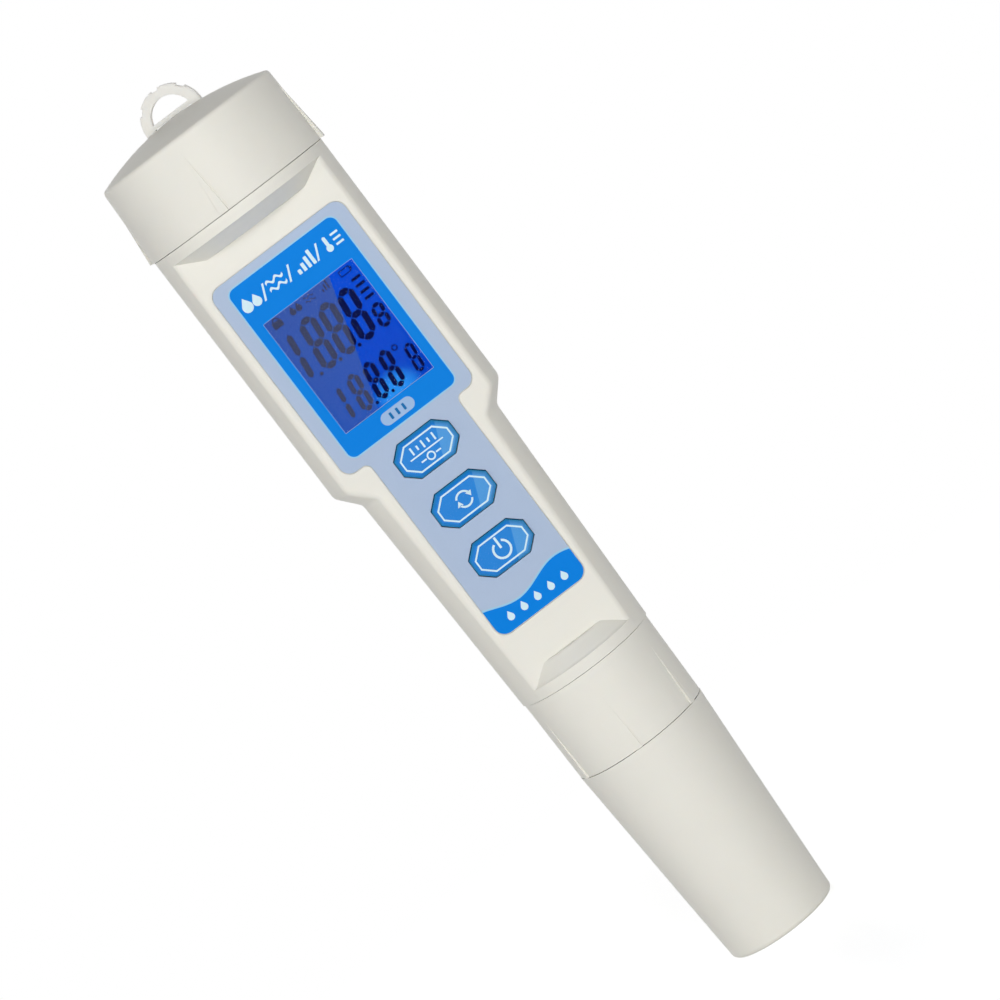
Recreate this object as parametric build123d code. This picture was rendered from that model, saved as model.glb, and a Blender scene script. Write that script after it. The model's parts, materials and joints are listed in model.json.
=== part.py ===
from build123d import *
from math import asin, cos, degrees, hypot, radians, sin
import os

# A pen-shaped water tester that stands upright on its sensor cap.
# The axis of the pen is Z, the flat front with the display faces -Y and
# the origin is the centre of the underside of the sensor cap. Millimetres.

# Lengths of the outer sections, from the sensor end upwards
sensor_cap_length = 44.0
collar_length = 17.0
handle_length = 46.8
shoulder_length = 4.0
head_length = 53.2
dome_rise = 3.4

# Outside of the pen: tapers of its sections and the diameters of the head
sensor_cap_taper = 4.9
collar_taper = 0.5
handle_step = 0.5
handle_taper = 2.4
head_diameter = 37.3
battery_cap_low_diameter = 38.0
battery_cap_high_diameter = 36.9

# Walls of the housing and the flat front face
housing_wall = 2.0
flat_distance = 9.3
flat_edge_round = 1.2
shoulder_round = 2.0
seam_gap = 0.12

# Sloping shelves where the flat front runs out into the round ends
top_slope_start = 2.1
top_slope_end = 4.9
top_slope_inner_radius = 14.3
low_slope_start = 2.0
low_slope_end = 5.2
low_slope_inner_radius = 11.2
slope_round = 1.6

# Printed film on the front face
film_top_drop = 9.9
film_length = 80.9
film_wide_height = 41.0
film_wide_width = 29.0
film_narrow_width = 19.5
film_corner = 2.2
film_inner_corner = 1.4
film_thickness = 0.4
film_sink = 0.1
film_gap = 0.15

# Display behind the film
display_width = 19.6
display_height = 24.3
display_drop = 10.2
pane_thickness = 0.9
pane_margin = 1.6
ledge_margin = 0.7
glass_thickness = 1.1
glass_side_margin = 1.6
glass_end_margin = 3.7
glass_step = 2.5
display_gap = 0.2
display_room = 0.1
backlight_thickness = 2.4
frame_wall = 0.8
strip_height = 2.0

# Three keys below the display
key_width = 12.2
key_height = 7.4
key_corner_width = 2.4
key_corner_height = 2.15
key_first_drop = 4.4
key_pitch = 11.15
key_proud = 0.8
key_bevel = 0.65
key_gap = 0.15
key_flange = 0.8
key_flange_thickness = 0.7
key_post_diameter = 3.0
key_travel = 0.35
switch_size = 4.5
switch_height = 1.5
plunger_diameter = 1.9
plunger_proud = 0.7
plunger_buried = 0.6
plunger_gap = 0.06

# Circuit board and the plastic frame that carries it
board_thickness = 1.6
board_side_gap = 1.2
board_top_gap = 4.0
board_shoulder_gap = 3.0
board_corner = 0.8
chassis_thickness = 1.8
chassis_gap = 0.3
chassis_rib = 3.4
chassis_rib_inset = 2.0
screw_diameter = 1.5
screw_head_diameter = 2.8
screw_head_height = 0.9
screw_length = 5.0
screw_boss_wall = 1.1
chip_room_width = 16.0
chip_length = 5.0
chip_thickness = 1.4
capacitor_diameter = 3.2
capacitor_height = 2.6
capacitor_spacing = 8.8
sealed_chip_radius = 5.5
sealed_chip_height = 1.5

# Button cells, their holder and the screwed neck above the head
cell_diameter = 11.6
cell_height = 5.4
cells_per_stack = 2
cell_step = 1.2
cell_lip = 0.4
stack_spacing = 13.2
cell_gap = 0.15
holder_wall = 1.6
holder_gap = 0.15
holder_floor = 1.7
contact_thickness = 0.3
contact_lift = 0.9
contact_margin = 1.2
contact_centre = 1.2
contact_tail_width = 2.0
holder_grip_width = 3.4
holder_grip_margin = 4.5
neck_wall = 2.1
neck_floor_drop = 2.8
neck_above_cells = 0.6

# Screwed battery cap
thread_gap = 0.35
cap_seal_thickness = 1.2
cap_roof = 3.1
cap_rim_round = 0.8
cap_pocket_depth = 2.6
cap_turn = -10.0
cap_rib_count = 4
cap_rib_width = 1.8
cap_rib_proud = 0.7
cap_rib_height = 13.2
cap_plate_thickness = 0.3
plate_clearance = 0.1

# Lanyard loop on the dome
loop_outer_radius = 6.0
loop_inner_radius = 4.05
loop_thickness = 2.2
loop_base = 0.85
loop_notch = 0.4
loop_peg_diameter = 1.8
loop_peg_length = 1.6

# Union collar that holds the sensor module to the housing
collar_turn = -8.0
collar_wall = 1.45
collar_floor = 3.1
collar_rib_count = 6
collar_rib_width = 1.2
collar_rib_proud = 0.4
collar_rib_height = 12.9
spigot_wall = 2.7
bulkhead_rise = 3.5
collar_hole_gap = 0.3

# Sensor module
barrel_diameter = 20.2
barrel_end = 30.0
plug_step = 1.4
plug_gap = 0.3
plug_height = 14.0
module_flange_reach = 1.3
module_flange_thickness = 2.8
flange_gap = 0.1
guard_step = 1.9
guard_wall = 1.6
guard_tip = 11.0
guard_slot = 5.0
guard_slot_height = 10.0
module_edge = 0.6
potting_face = 24.0
potting_thickness = 2.0
seal_section = 1.7
seal_clearance = 0.05
cap_bore_gap = 0.6
plug_seal_height = 6.5
barrel_seal_drop = 7.0
pin_count = 6
pin_pitch = 2.0
pin_diameter = 0.6
pin_length = 5.5
pin_gap = 0.08
socket_height = 6.8
socket_width = 13.0
socket_depth = 5.0
socket_floor_gap = 1.1

# Sensing parts at the tip. Shares are parts of the radius inside the guard
bulb_share = 0.97
bulb_tube_share = 0.76
bulb_wall = 0.6
bulb_room = 1.2
bulb_tip = 12.2
wire_diameter = 0.7
conductivity_pin_share = 0.23
conductivity_side_share = 0.485
conductivity_front_share = 0.455
conductivity_pin_tip = 13.5
probe_share = 0.33
probe_room = 0.9
tip_round_share = 0.8
probe_tip = 13.0
junction_share = 0.3
junction_room = 1.0
junction_proud = 0.8
sensing_seat = 6.0
seat_gap = 0.05

# Sensor cap and its sponge
sensor_cap_mouth_wall = 2.85
sensor_cap_wall = 1.6
sensor_cap_floor = 1.8
sensor_cap_base_round = 1.0
cap_mouth_edge = 0.4
sponge_thickness = 4.0
sponge_gap = 0.3
sponge_edge = 0.6

# Heights of the seams above the base
collar_low = sensor_cap_length
housing_low = collar_low + collar_length
shoulder_low = housing_low + handle_length
head_low = shoulder_low + shoulder_length
neck_low = head_low + head_length

# Heights inside the neck and the battery cap
neck_floor = neck_low - neck_floor_drop
well_floor = neck_floor + holder_floor
cells_low = well_floor + contact_lift
cells_high = cells_low + cells_per_stack * cell_height
neck_high = cells_high + neck_above_cells
cap_ceiling = neck_high + cap_seal_thickness
cap_rim = cap_ceiling + cap_roof
cap_crest = cap_rim + dome_rise

# Radii of the neck, from the cells outwards
holder_radius = stack_spacing / 2 + cell_diameter / 2 + cell_gap + holder_wall
neck_bore = holder_radius + holder_gap
neck_radius = neck_bore + neck_wall
cap_bore = neck_radius + thread_gap

# Radii of the sensor module, the union and the handle, from the barrel outwards
plug_diameter = barrel_diameter - 2 * plug_step
guard_diameter = barrel_diameter - 2 * guard_step
guard_bore = guard_diameter / 2 - guard_wall
module_flange_diameter = barrel_diameter + 2 * module_flange_reach
sensor_cap_bore = barrel_diameter / 2 + cap_bore_gap
sensor_cap_mouth_diameter = 2 * (sensor_cap_bore + sensor_cap_mouth_wall)
sensor_cap_base_diameter = sensor_cap_mouth_diameter - sensor_cap_taper
spigot_bore = plug_diameter / 2 + plug_gap
spigot_radius = spigot_bore + spigot_wall
collar_bore = spigot_radius + thread_gap
collar_low_diameter = 2 * (collar_bore + collar_wall)
collar_high_diameter = collar_low_diameter + collar_taper
handle_low_diameter = collar_high_diameter + handle_step
handle_high_diameter = handle_low_diameter + handle_taper

# Sizes and places of the sensing parts inside the guard
bulb_diameter = bulb_share * guard_bore
bulb_tube_diameter = bulb_tube_share * guard_bore
bulb_offset = guard_bore - bulb_diameter / 2 - bulb_room
conductivity_pin_diameter = conductivity_pin_share * guard_bore
probe_diameter = probe_share * guard_bore
probe_offset = guard_bore - probe_diameter / 2 - probe_room
junction_diameter = junction_share * guard_bore
junction_offset = guard_bore - junction_diameter / 2 - junction_room

# Heights of the union at the sensor end
flange_low = collar_low + collar_floor + flange_gap
flange_high = flange_low + module_flange_thickness
spigot_low = flange_high + 2 * flange_gap
bulkhead = housing_low + bulkhead_rise
socket_low = bulkhead + socket_floor_gap

# Depths from front to back, as Y positions
flat_face = -flat_distance
film_face = flat_face + film_sink
film_back = film_face + film_thickness
pane_back = film_back + pane_thickness
wall_back = flat_face + housing_wall
glass_face = wall_back + display_gap
glass_back = glass_face + 2 * glass_thickness
board_face = glass_back + backlight_thickness
board_back = board_face + board_thickness
chassis_back = board_back + chassis_thickness
switch_face = board_face - switch_height
plunger_face = switch_face - plunger_proud

# Heights on the front face
film_top = neck_low - film_top_drop
film_low = film_top - film_length
film_step = film_top - film_wide_height
display_top = film_top - display_drop
display_middle = display_top - display_height / 2
key_names = ("calibrate", "mode", "power")
key_heights = [film_step - key_first_drop - place * key_pitch for place in range(len(key_names))]

# Board and chassis outline
board_low = socket_low + socket_height
board_top = neck_floor - board_top_gap
board_step = head_low + board_shoulder_gap
chassis_handle_half = handle_low_diameter / 2 - housing_wall - chassis_gap
chassis_head_half = neck_bore - chassis_gap
board_handle_half = chassis_handle_half - board_side_gap
board_head_half = chassis_head_half - board_side_gap
screw_places = [
    (side * (board_handle_half - 2.4), board_low + 7.0) for side in (-1, 1)
] + [(side * (board_head_half - 3.1), board_top - 3.5) for side in (-1, 1)]


def turned(corners):
    """Solid of revolution about Z. Each corner is (radius, height) or
    (radius, height, rounding)."""
    points = [(corner[0], corner[1]) for corner in corners]
    rounds = [corner[2] if len(corner) > 2 else 0 for corner in corners]
    outline = FilletPolyline(*points, radius=rounds, close=True)
    return revolve(Plane.XZ * make_face(outline), Axis.Z)


def outlined(corners):
    """Flat face with the corners (across, up) or (across, up, rounding)."""
    points = [(corner[0], corner[1]) for corner in corners]
    rounds = [corner[2] if len(corner) > 2 else 0 for corner in corners]
    return make_face(FilletPolyline(*points, radius=rounds, close=True))


def from_front(face, front, back):
    """Prism of a face drawn as seen from the front, between two Y positions."""
    plane = Plane(origin=(0, back, 0), x_dir=(1, 0, 0), z_dir=(0, -1, 0))
    return extrude(plane * face, amount=back - front)


def rod(diameter, low, high, x=0.0, y=0.0):
    """Upright cylinder between two heights."""
    length = high - low
    return Pos(x, y, low + length / 2) * Cylinder(diameter / 2, length)


def ring_seal(outer_radius, section, height):
    """Seal ring of a section with eight sides, by its outer radius."""
    middle = outer_radius - section / 2
    angles = [radians(22.5 + 45 * place) for place in range(8)]
    reach = section / 2 / cos(angles[0])
    return turned([(middle + reach * cos(angle), height + reach * sin(angle)) for angle in angles])


def wedge_ribs(count, turn, low, height, width, foot_radius, foot_proud, top_radius):
    """Ribs that are widest and proudest at the foot and fade out upwards."""
    top = low + height
    wedge = outlined([(-width / 2, low), (width / 2, low), (0, top)])
    prism = from_front(wedge, -(foot_radius + foot_proud + 1), -(foot_radius - 1))
    envelope = turned(
        [
            (foot_radius - 1, low),
            (foot_radius + foot_proud, low),
            (top_radius, top),
            (top_radius - 1, top),
        ]
    )
    rib = prism & envelope
    return [Rot(0, 0, turn + place * 360 / count) * rib for place in range(count)]


def join(first, others):
    """One solid made of a body and the features that stand on it."""
    for other in others:
        first = first + other
    return first


def film_outline(grow=0.0):
    """Outline of the front film, wide round the display and narrow round the keys."""
    wide = film_wide_width / 2 + grow
    narrow = film_narrow_width / 2 + grow
    top = film_top + grow
    step = film_step - grow
    low = film_low - grow
    corner = film_corner + grow
    inner = film_inner_corner - grow
    return outlined(
        [
            (-narrow, low, corner),
            (narrow, low, corner),
            (narrow, step, inner),
            (wide, step, corner),
            (wide, top, corner),
            (-wide, top, corner),
            (-wide, step, corner),
            (-narrow, step, inner),
        ]
    )


def key_outline(height, grow=0.0):
    """Eight-sided outline of one key."""
    across = key_width / 2 + grow
    up = key_height / 2 + grow
    corner = (key_corner_width, key_corner_height)
    return outlined(
        [
            (across - corner[0], height - up),
            (across, height - up + corner[1]),
            (across, height + up - corner[1]),
            (across - corner[0], height + up),
            (corner[0] - across, height + up),
            (-across, height + up - corner[1]),
            (-across, height - up + corner[1]),
            (corner[0] - across, height - up),
        ]
    )


def display_rectangle(side_margin, end_margin):
    """Rectangle round the display with a margin at the sides and the ends."""
    width = display_width + 2 * side_margin
    height = display_height + 2 * end_margin
    return Pos(0, display_middle) * Rectangle(width, height)


def housing_form():
    """Outside of the housing: round handle, shoulder and head with a flat front."""
    head = head_diameter / 2
    body = turned(
        [
            (0, housing_low),
            (handle_low_diameter / 2, housing_low),
            (handle_high_diameter / 2, shoulder_low, shoulder_round),
            (head, head_low, shoulder_round),
            (head, neck_low),
            (0, neck_low),
        ]
    )
    spare = head + 2
    low_start = housing_low + low_slope_start
    low_end = housing_low + low_slope_end
    top_start = neck_low - top_slope_start
    top_end = neck_low - top_slope_end
    low_keep = turned(
        [
            (0, housing_low - 1),
            (spare, housing_low - 1),
            (spare, low_start),
            (handle_low_diameter / 2, low_start, slope_round),
            (low_slope_inner_radius, low_end, 0.4),
            (0, low_end),
        ]
    )
    top_keep = turned(
        [
            (0, neck_low + 1),
            (spare, neck_low + 1),
            (spare, top_start),
            (head, top_start, slope_round),
            (top_slope_inner_radius, top_end, 0.4),
            (0, top_end),
        ]
    )
    height = neck_low - housing_low
    front = Pos(0, flat_face - spare / 2, housing_low + height / 2) * Box(
        2 * spare, spare, height
    )
    flat_body = body - front
    along = [
        edge
        for edge in flat_body.edges()
        if abs(edge.center().Y - flat_face) < 0.01
        and abs(edge.center().X) > flat_distance / 2
    ]
    return fillet(along, flat_edge_round) + (body & low_keep) + (body & top_keep)


def housing_hollow():
    """Space inside the housing for the board, the cells and the sensor plug."""
    inner_flat = wall_back
    low_radius = handle_low_diameter / 2 - housing_wall
    high_radius = handle_high_diameter / 2 - housing_wall
    head_radius = head_diameter / 2 - housing_wall
    room = turned(
        [
            (0, bulkhead),
            (low_radius, bulkhead),
            (high_radius, shoulder_low + housing_wall / 2),
            (head_radius, head_low + housing_wall),
            (head_radius, neck_floor - housing_wall, 1.0),
            (neck_bore, neck_floor),
            (0, neck_floor),
        ]
    )
    height = neck_floor - bulkhead
    behind = Pos(0, inner_flat + head_diameter / 2, bulkhead + height / 2) * Box(
        2 * head_diameter, head_diameter, height
    )
    neck = rod(2 * neck_bore, neck_floor, neck_high + 1)
    spigot = rod(2 * spigot_bore, spigot_low - 1, bulkhead)
    return [room & behind, neck, spigot]


def main_housing():
    body = housing_form()
    body = body + rod(2 * neck_radius, neck_low, neck_high)
    body = body + rod(2 * spigot_radius, spigot_low, housing_low)
    for space in housing_hollow():
        body = body - space
    body = body - from_front(film_outline(film_gap), flat_face - 1, film_back)
    body = body - from_front(
        display_rectangle(pane_margin + film_gap, pane_margin + film_gap), film_back, pane_back
    )
    body = body - from_front(display_rectangle(ledge_margin, ledge_margin), pane_back, wall_back + 1)
    for height in key_heights:
        body = body - from_front(key_outline(height, key_gap), flat_face - 1, wall_back + 1)
    return body


def front_film():
    film = from_front(film_outline(), film_face, film_back)
    film = film - from_front(display_rectangle(0, 0), film_face - 1, film_back + 1)
    for height in key_heights:
        film = film - from_front(key_outline(height, key_gap), film_face - 1, film_back + 1)
    return film


def display_window():
    return from_front(display_rectangle(pane_margin, pane_margin), film_back, pane_back)


def lcd_glass():
    """Two glass plates. The front one is longer and carries the contact rows."""
    middle = glass_face + glass_thickness
    front = display_rectangle(glass_side_margin, glass_end_margin)
    rear = display_rectangle(glass_side_margin, glass_end_margin - glass_step)
    return [
        from_front(front, glass_face, middle),
        from_front(rear, middle, glass_back),
    ]


def backlight_panel():
    face = display_rectangle(glass_side_margin, glass_end_margin - glass_step - display_gap)
    return from_front(face, glass_back, board_face)


def contact_strips():
    """Rubber strips that join the contact rows of the glass to the board."""
    reach = display_height / 2 + glass_end_margin - strip_height / 2 - display_gap
    face = Rectangle(display_width, strip_height)
    front = glass_face + glass_thickness
    return [
        from_front(Pos(0, display_middle + side * reach) * face, front, board_face)
        for side in (-1, 1)
    ]


def frame_pegs(diameter, front, back):
    """Four short pegs at the corners of the display frame."""
    across = display_width / 2 + glass_side_margin
    up = display_height / 2 + glass_end_margin + frame_wall / 2
    return [
        from_front(Pos(side * across, display_middle + end * up) * Circle(diameter / 2), front, back)
        for side in (-1, 1)
        for end in (-1, 1)
    ]


def lcd_frame():
    outer = display_rectangle(glass_side_margin + frame_wall, glass_end_margin + frame_wall)
    inner = display_rectangle(glass_side_margin + display_room, glass_end_margin + display_room)
    frame = from_front(outer - inner, glass_face, board_face)
    return join(frame, frame_pegs(frame_wall, board_face, board_back))


def board_outline(grow_handle, grow_head, low, top):
    """Stepped outline, narrow in the handle and wide in the head."""
    slope = grow_head - grow_handle
    return outlined(
        [
            (-grow_handle, low, board_corner),
            (grow_handle, low, board_corner),
            (grow_handle, board_step - slope),
            (grow_head, board_step),
            (grow_head, top, board_corner),
            (-grow_head, top, board_corner),
            (-grow_head, board_step),
            (-grow_handle, board_step - slope),
        ]
    )


def main_board():
    outline = board_outline(board_handle_half, board_head_half, board_low, board_top)
    board = from_front(outline, board_face, board_back)
    for peg in frame_pegs(frame_wall + display_room, board_face - 1, board_back + 1):
        board = board - peg
    for x, z in screw_places:
        hole = Pos(x, z) * Circle(screw_diameter / 2 + 0.1)
        board = board - from_front(hole, board_face - 1, board_back + 1)
    return board


def board_components():
    """Chips, capacitors and the sealed main chip soldered to the board."""
    low_space = (board_low + key_heights[-1] - switch_size / 2) / 2
    between = [(key_heights[place] + key_heights[place + 1]) / 2 for place in range(2)]
    amplifier = Pos(0, low_space) * Rectangle(chip_length, 0.8 * chip_length)
    memory = Pos(0, between[1]) * Rectangle(chip_length, 0.64 * chip_length)
    regulator = Pos(0, between[0]) * Rectangle(0.6 * chip_length, 0.32 * chip_length)
    chips = (amplifier, memory, regulator)
    parts = [from_front(chip, board_face - chip_thickness, board_face) for chip in chips]
    for side in (-1, 1):
        capacitor = Pos(side * capacitor_spacing / 2, low_space) * Circle(capacitor_diameter / 2)
        parts.append(from_front(capacitor, board_face - capacitor_height, board_face))
    foot = sealed_chip_radius
    crest = sealed_chip_height
    blob = turned([(0, 0), (foot, 0), (0.9 * foot, 0.6 * crest), (0.55 * foot, crest), (0, crest)])
    parts.append(Pos(0, board_back, display_middle) * Rot(-90, 0, 0) * blob)
    return parts


def inner_chassis():
    """Plastic frame behind the board. It stands on the bulkhead of the housing."""
    outline = board_outline(chassis_handle_half, chassis_head_half, bulkhead, neck_floor)
    plate = from_front(outline, board_back, chassis_back)
    socket_room = Pos(0, bulkhead + (board_low - bulkhead) / 2) * Rectangle(
        socket_width + 1.6, board_low - bulkhead + 1
    )
    chip_room = Pos(0, display_middle) * Rectangle(chip_room_width, display_height)
    plate = plate - from_front(socket_room, board_back - 1, chassis_back + 1)
    plate = plate - from_front(chip_room, board_back - 1, chassis_back + 1)
    ribs = []
    for side in (-1, 1):
        across = side * (chassis_handle_half - chassis_rib_inset)
        rib = Pos(across, (bulkhead + board_step) / 2) * Rectangle(1.2, board_step - bulkhead)
        ribs.append(from_front(rib, chassis_back, chassis_back + chassis_rib))
    for x, z in screw_places:
        boss = Pos(x, z) * Circle(screw_diameter / 2 + screw_boss_wall)
        ribs.append(from_front(boss, chassis_back, board_back + screw_length))
    plate = join(plate, ribs)
    for x, z in screw_places:
        hole = Pos(x, z) * Circle(screw_diameter / 2 + 0.02)
        plate = plate - from_front(hole, board_back - 1, board_back + screw_length - 0.6)
    return plate


def board_screws():
    screws = []
    for x, z in screw_places:
        head = Pos(x, z) * Circle(screw_head_diameter / 2)
        shank = Pos(x, z) * Circle(screw_diameter / 2)
        screw = from_front(head, board_face - screw_head_height, board_face)
        shank_end = board_face + screw_length
        screws.append(screw + from_front(shank, board_face - 0.1, shank_end))
    return screws


def key_cap(height):
    """One key: bevelled cap, shank through the wall, flange and post behind it."""
    top = flat_face - key_proud
    middle = flat_face - 0.1
    shank = from_front(key_outline(height), middle, wall_back)
    bevel_plane = Plane(origin=(0, middle, 0), x_dir=(1, 0, 0), z_dir=(0, -1, 0))
    taper = degrees(asin(key_bevel / hypot(key_bevel, middle - top)))
    cap = extrude(bevel_plane * key_outline(height), amount=middle - top, taper=taper)
    flange = from_front(
        key_outline(height, key_flange), wall_back + 0.02, wall_back + key_flange_thickness
    )
    neck = from_front(key_outline(height), wall_back - 0.1, wall_back + key_flange_thickness)
    post = Pos(0, height) * Circle(key_post_diameter / 2)
    post = from_front(post, wall_back + 0.1, plunger_face)
    return join(cap, [shank, neck, flange, post])


def key_plunger(height):
    face = Pos(0, height) * Circle(plunger_diameter / 2)
    return from_front(face, plunger_face, switch_face + plunger_buried)


def key_switches():
    """Bodies of the three push switches, each with a round well for its plunger."""
    bodies = []
    well_depth = plunger_buried + key_travel + 0.1
    for height in key_heights:
        body = Pos(0, height) * RectangleRounded(switch_size, switch_size, 0.4)
        well = Pos(0, height) * Circle(plunger_diameter / 2 + plunger_gap)
        body = from_front(body, switch_face, board_face)
        bodies.append(body - from_front(well, switch_face - 1, switch_face + well_depth))
    return bodies


def battery_holder():
    """Plastic holder with two round wells, resting on the floor of the neck."""
    holder = rod(2 * holder_radius, neck_floor, cells_high - 0.6)
    for side in (-1, 1):
        x = side * stack_spacing / 2
        holder = holder - rod(cell_diameter + 2 * cell_gap, well_floor, neck_high, x)
        slot = Pos(x, board_face - contact_thickness / 2, neck_floor + holder_floor / 2)
        slot_size = (contact_tail_width + 0.4, 2 * contact_thickness, holder_floor + 1)
        holder = holder - slot * Box(*slot_size)
    grip_length = 2 * (holder_radius - holder_grip_margin)
    grip = Pos(0, 0, cells_high - cell_height / 2) * Box(holder_grip_width, grip_length, cell_height)
    return holder - grip


def battery_contacts():
    """Two pressed contacts, each with a raised centre and a tail down to the board."""
    contacts = []
    edge = cell_diameter / 2 - contact_margin
    for side in (-1, 1):
        x = side * stack_spacing / 2
        disc = turned(
            [
                (0, well_floor),
                (edge, well_floor),
                (edge, well_floor + contact_thickness),
                (2 * contact_centre, well_floor + contact_thickness),
                (contact_centre, cells_low),
                (0, cells_low),
            ]
        )
        tail_low = board_top - 3.0
        tail_height = well_floor - tail_low + contact_thickness
        tail = Pos(x, board_face - contact_thickness / 2, tail_low + tail_height / 2)
        contacts.append(Pos(x, 0, 0) * disc + tail * Box(contact_tail_width, contact_thickness, tail_height))
    return contacts


def button_cells():
    """Round cells, each a can with a smaller negative cap at its lower end."""
    can = cell_diameter / 2
    cells = []
    for side in (-1, 1):
        for place in range(cells_per_stack):
            low = cells_low + place * cell_height
            high = low + cell_height
            cell = turned(
                [
                    (0, low),
                    (can - cell_step, low),
                    (can - cell_step, low + cell_lip),
                    (can - cell_lip, low + cell_lip),
                    (can, low + 2 * cell_lip),
                    (can, high - cell_lip),
                    (can - cell_lip, high),
                    (0, high),
                ]
            )
            cells.append(Pos(side * stack_spacing / 2, 0, 0) * cell)
    return cells


def dome_radius():
    half = battery_cap_high_diameter / 2
    return (half * half + dome_rise * dome_rise) / (2 * dome_rise)


def battery_cap():
    """Screwed cap with a shallow dome, four wedge ribs and a pocket in its roof."""
    low = neck_low + seam_gap
    foot = battery_cap_low_diameter / 2
    top = battery_cap_high_diameter / 2
    body = turned([(0, low), (foot, low), (top, cap_rim), (top, cap_crest + 1), (0, cap_crest + 1)])
    ball = dome_radius()
    body = body & (Pos(0, 0, cap_crest - ball) * Sphere(ball))
    rim = [edge for edge in body.edges() if abs(edge.center().Z - cap_rim) < 0.5]
    body = fillet(rim, cap_rim_round)
    top_radius = foot + (top - foot) * cap_rib_height / (cap_rim - low)
    ribs = wedge_ribs(
        cap_rib_count, 0, low, cap_rib_height, cap_rib_width, foot, cap_rib_proud, top_radius
    )
    body = join(body, ribs)
    body = body - rod(2 * cap_bore, low - 1, cap_ceiling)
    plate_seat = plate_radius() - 1.2
    body = body - rod(2 * plate_seat, cap_ceiling - 1, cap_ceiling + cap_pocket_depth)
    body = body + rod(2.4, plate_low() - 0.3, cap_ceiling + cap_pocket_depth + 0.5)
    for side in (-1, 1):
        body = body - loop_peg(side, 0.05)
    return Rot(0, 0, cap_turn) * body


def plate_radius():
    return neck_bore - 1.6


def plate_low():
    return cap_ceiling - cap_plate_thickness


def cap_contact_plate():
    """Sprung metal disc that bridges the two stacks, with a pressed ring bead."""
    high = cap_ceiling
    low = plate_low()
    bead = stack_spacing / 2
    bead_low = cells_high + plate_clearance
    disc = turned(
        [
            (1.3, low),
            (bead - 2.0, low),
            (bead - 0.5, bead_low),
            (bead + 0.5, bead_low),
            (bead + 2.0, low),
            (plate_radius(), low),
            (plate_radius(), high),
            (bead + 2.0, high),
            (bead + 0.6, bead_low + cap_plate_thickness),
            (bead - 0.6, bead_low + cap_plate_thickness),
            (bead - 2.0, high),
            (1.3, high),
        ]
    )
    return Rot(0, 0, cap_turn) * disc


def battery_cap_seal():
    """Flat rubber ring between the roof of the cap and the rim of the neck."""
    inner = plate_radius() + 0.3
    outer = cap_bore - 0.1
    return turned([(inner, neck_high), (outer, neck_high), (outer, cap_ceiling), (inner, cap_ceiling)])


def loop_peg(side, grow=0.0):
    x = side * (loop_outer_radius + loop_inner_radius) / 2
    return rod(loop_peg_diameter + 2 * grow, cap_crest - loop_peg_length - grow, cap_crest + 0.3, x)


def lanyard_loop():
    """Half-round eye with three shallow notches, pegged into the dome."""
    ring = Pos(0, cap_crest) * (Circle(loop_outer_radius) - Circle(loop_inner_radius))
    bar = Pos(0, cap_crest + loop_base / 2) * Rectangle(2 * loop_inner_radius, loop_base)
    below = Pos(0, cap_crest - loop_outer_radius - 0.6) * Rectangle(
        3 * loop_outer_radius, 2 * loop_outer_radius
    )
    face = ring + bar - below
    notch = outlined(
        [
            (-1.1, loop_outer_radius + 1),
            (-0.7, loop_outer_radius - loop_notch),
            (0.7, loop_outer_radius - loop_notch),
            (1.1, loop_outer_radius + 1),
        ]
    )
    for angle in (-48, 0, 48):
        face = face - Pos(0, cap_crest) * Rot(0, 0, angle) * notch
    loop = from_front(face, -loop_thickness / 2, loop_thickness / 2)
    ball = dome_radius()
    loop = loop - Pos(0, 0, cap_crest - ball) * Sphere(ball)
    loop = join(loop, [loop_peg(side) for side in (-1, 1)])
    return Rot(0, 0, cap_turn) * loop


def sensor_collar():
    """Union nut with six wedge ribs. Its floor holds up the flange of the module."""
    high = housing_low - seam_gap
    foot = collar_low_diameter / 2
    top = collar_high_diameter / 2
    hole = barrel_diameter / 2 + collar_hole_gap
    body = turned(
        [
            (hole, collar_low),
            (foot, collar_low),
            (top, high),
            (collar_bore, high),
            (collar_bore, collar_low + collar_floor),
            (hole, collar_low + collar_floor),
        ]
    )
    top_radius = foot + (top - foot) * collar_rib_height / (high - collar_low)
    ribs = wedge_ribs(
        collar_rib_count,
        collar_turn,
        collar_low,
        collar_rib_height,
        collar_rib_width,
        foot,
        collar_rib_proud,
        top_radius,
    )
    return join(body, ribs)


def seal_groove(outer_radius, height):
    """Space for a seal ring of the given outer radius."""
    inner = outer_radius - seal_section
    half = seal_section / 2 + 0.15
    return turned(
        [
            (inner, height - half),
            (outer_radius + 3, height - half),
            (outer_radius + 3, height + half),
            (inner, height + half),
        ]
    )


plug_seal_radius = spigot_bore - seal_clearance
plug_seal_z = flange_high + plug_seal_height
barrel_seal_radius = sensor_cap_bore - seal_clearance
barrel_seal_z = collar_low - barrel_seal_drop
plug_top = flange_high + plug_height
seat_top = potting_face + potting_thickness + sensing_seat


def pin_places():
    first = -(pin_count - 1) * pin_pitch / 2
    return [(first + place * pin_pitch, board_face + board_thickness / 2) for place in range(pin_count)]


def conductivity_places():
    across = conductivity_side_share * guard_bore
    return [(side * across, -conductivity_front_share * guard_bore) for side in (-1, 1)]


def sensing_holes(low, high):
    """Holes through which the sensing parts pass up into the module."""
    holes = [rod(bulb_tube_diameter + 2 * seat_gap, low, high, 0, bulb_offset)]
    for x, y in conductivity_places():
        holes.append(rod(conductivity_pin_diameter + 2 * seat_gap, low, high, x, y))
    holes.append(rod(probe_diameter + 2 * seat_gap, low, high, 0, -probe_offset))
    holes.append(rod(junction_diameter + 2 * seat_gap, low, high, -junction_offset, 1.2))
    return holes


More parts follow.
